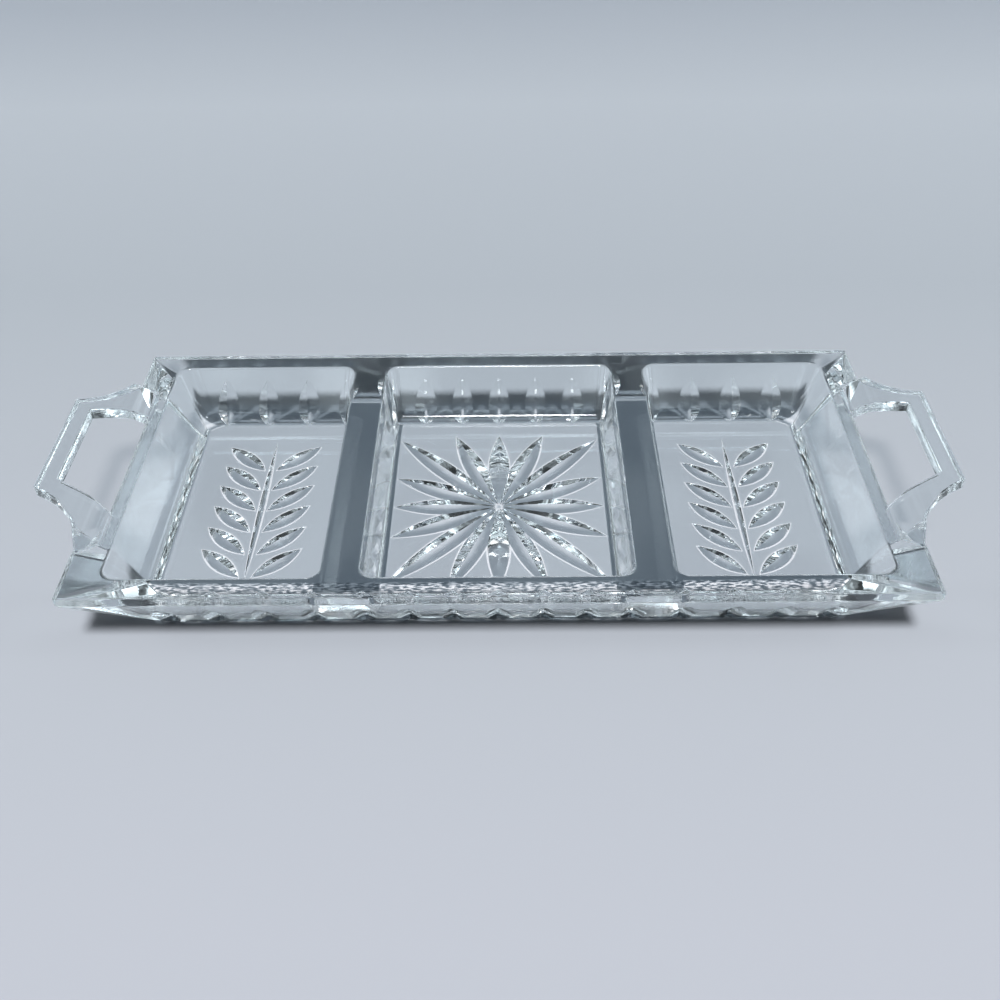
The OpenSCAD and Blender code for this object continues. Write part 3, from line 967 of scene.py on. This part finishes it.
def light_patch_group():
    """A round patch of light with soft edges in the dome."""
    group = bpy.data.node_groups.new("light_patch", "ShaderNodeTree")
    group.interface.new_socket("Towards", in_out="INPUT", socket_type="NodeSocketVector")
    for name in ("Outer edge", "Inner edge", "Brightness"):
        group.interface.new_socket(name, in_out="INPUT", socket_type="NodeSocketFloat")
    group.interface.new_socket("Light", in_out="OUTPUT", socket_type="NodeSocketFloat")
    nodes, links = group.nodes, group.links
    entry = nodes.new("NodeGroupInput")
    result = nodes.new("NodeGroupOutput")
    place = nodes.new("ShaderNodeTexCoord")
    nearness = nodes.new("ShaderNodeVectorMath")
    nearness.operation = "DOT_PRODUCT"
    ramp = nodes.new("ShaderNodeMapRange")
    ramp.interpolation_type = "SMOOTHSTEP"
    links.new(place.outputs["Generated"], nearness.inputs[0])
    links.new(entry.outputs["Towards"], nearness.inputs[1])
    links.new(nearness.outputs["Value"], ramp.inputs["Value"])
    links.new(entry.outputs["Outer edge"], ramp.inputs["From Min"])
    links.new(entry.outputs["Inner edge"], ramp.inputs["From Max"])
    links.new(entry.outputs["Brightness"], ramp.inputs["To Max"])
    links.new(ramp.outputs["Result"], result.inputs["Light"])
    return group


def lamp_level(tree, path):
    """The level of all lamps together, lower where glass mirrors them."""
    patch_group = light_patch_group()
    total = 0.0
    for azimuth, height, half, edge, level in LAMPS:
        a, e = math.radians(azimuth), math.radians(height)
        towards = (math.sin(a) * math.cos(e), math.cos(a) * math.cos(e), math.sin(e))
        patch = tree.nodes.new("ShaderNodeGroup")
        patch.node_tree = patch_group
        patch.inputs["Towards"].default_value = towards
        patch.inputs["Outer edge"].default_value = math.cos(math.radians(half + edge))
        patch.inputs["Inner edge"].default_value = math.cos(math.radians(half - edge))
        patch.inputs["Brightness"].default_value = level
        total = math_step(tree, "ADD", total, patch.outputs["Light"])
    dimming = math_step(tree, "MULTIPLY", path.outputs["Is Glossy Ray"], 1 - LAMP_GLOSS)
    return math_step(tree, "MULTIPLY", total, math_step(tree, "SUBTRACT", 1.0, dimming))


def dome_level(tree, path):
    """The dome's level: dim as a light, patches like a room's to the glass, and plain to the camera."""
    step = partial(math_step, tree)
    towards = tree.nodes.new("ShaderNodeTexCoord").outputs["Generated"]
    room = map_step(tree, xyz(tree, towards)[2], *SEEN_HEIGHTS, SEEN_LOW, SEEN_HIGH)
    patches = map_step(tree, noise_at(tree, towards, ROOM_SCALE, 1), *ROOM_EDGES, *ROOM_SHARES)
    room = step("MULTIPLY", room, patches)
    backdrop = step("MULTIPLY", step("SUBTRACT", SEEN_LOW, room), path.outputs["Is Camera Ray"])
    seen_level = step("ADD", room, backdrop)
    seen = step("MAXIMUM", path.outputs["Is Camera Ray"], path.outputs["Is Glossy Ray"])
    seen = step("MAXIMUM", seen, path.outputs["Is Transmission Ray"])
    level = step("MULTIPLY", seen, step("SUBTRACT", seen_level, DOME_LEVEL))
    return step("ADD", level, DOME_LEVEL)


def studio_light():
    """Lamps in a dome that is dim as a light, and pale where the glass and the camera see it."""
    world = bpy.data.worlds.new("soft_studio")
    world.use_nodes = True
    bpy.context.scene.world = world
    tree = world.node_tree
    path = tree.nodes.new("ShaderNodeLightPath")
    lamps = tree.nodes["Background"]
    lamps.inputs["Color"].default_value = (1.0, 1.0, 1.0, 1)
    tree.links.new(lamp_level(tree, path), lamps.inputs["Strength"])
    dome = tree.nodes.new("ShaderNodeBackground")
    dome.inputs["Color"].default_value = (*DOME_TONE, 1)
    tree.links.new(dome_level(tree, path), dome.inputs["Strength"])
    both = tree.nodes.new("ShaderNodeAddShader")
    tree.links.new(lamps.outputs[0], both.inputs[0])
    tree.links.new(dome.outputs[0], both.inputs[1])
    tree.links.new(both.outputs[0], tree.nodes["World Output"].inputs["Surface"])


def follow_light():
    """Lets light be followed through the many reflections inside a cut casting."""
    paths = bpy.context.scene.cycles
    paths.max_bounces = MOST_TURNS
    paths.transmission_bounces = MOST_TURNS
    paths.glossy_bounces = MOST_TURNS


def photo_camera():
    """The camera where the photograph was taken."""
    data = bpy.data.cameras.new("camera")
    data.sensor_width = SENSOR_W
    data.lens = SENSOR_W * FOCAL_PX / FRAME_PX
    data.clip_start = NEAREST
    data.clip_end = FARTHEST
    made = new_object("camera", data)
    forward, down = math.cos(CAMERA_PITCH), math.sin(CAMERA_PITCH)
    ahead = Vector((math.sin(CAMERA_YAW) * forward, math.cos(CAMERA_YAW) * forward, -down))
    level = Vector((math.cos(CAMERA_YAW), -math.sin(CAMERA_YAW), 0))
    above = level.cross(ahead)
    right = level * math.cos(CAMERA_ROLL) + above * math.sin(CAMERA_ROLL)
    up = above * math.cos(CAMERA_ROLL) - level * math.sin(CAMERA_ROLL)
    turn = Matrix((right, up, -ahead)).transposed().to_4x4()
    made.matrix_world = Matrix.Translation(CAMERA_PLACE) @ turn
    bpy.context.scene.camera = made


photo_camera()
tray_glass = build_tray()
tray_glass.data.materials.clear()
tray_glass.data.materials.append(crystal())
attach(tray_glass, "root")
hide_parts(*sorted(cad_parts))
table_top()
studio_light()
follow_light()
bpy.context.scene.view_settings.view_transform = "Standard"
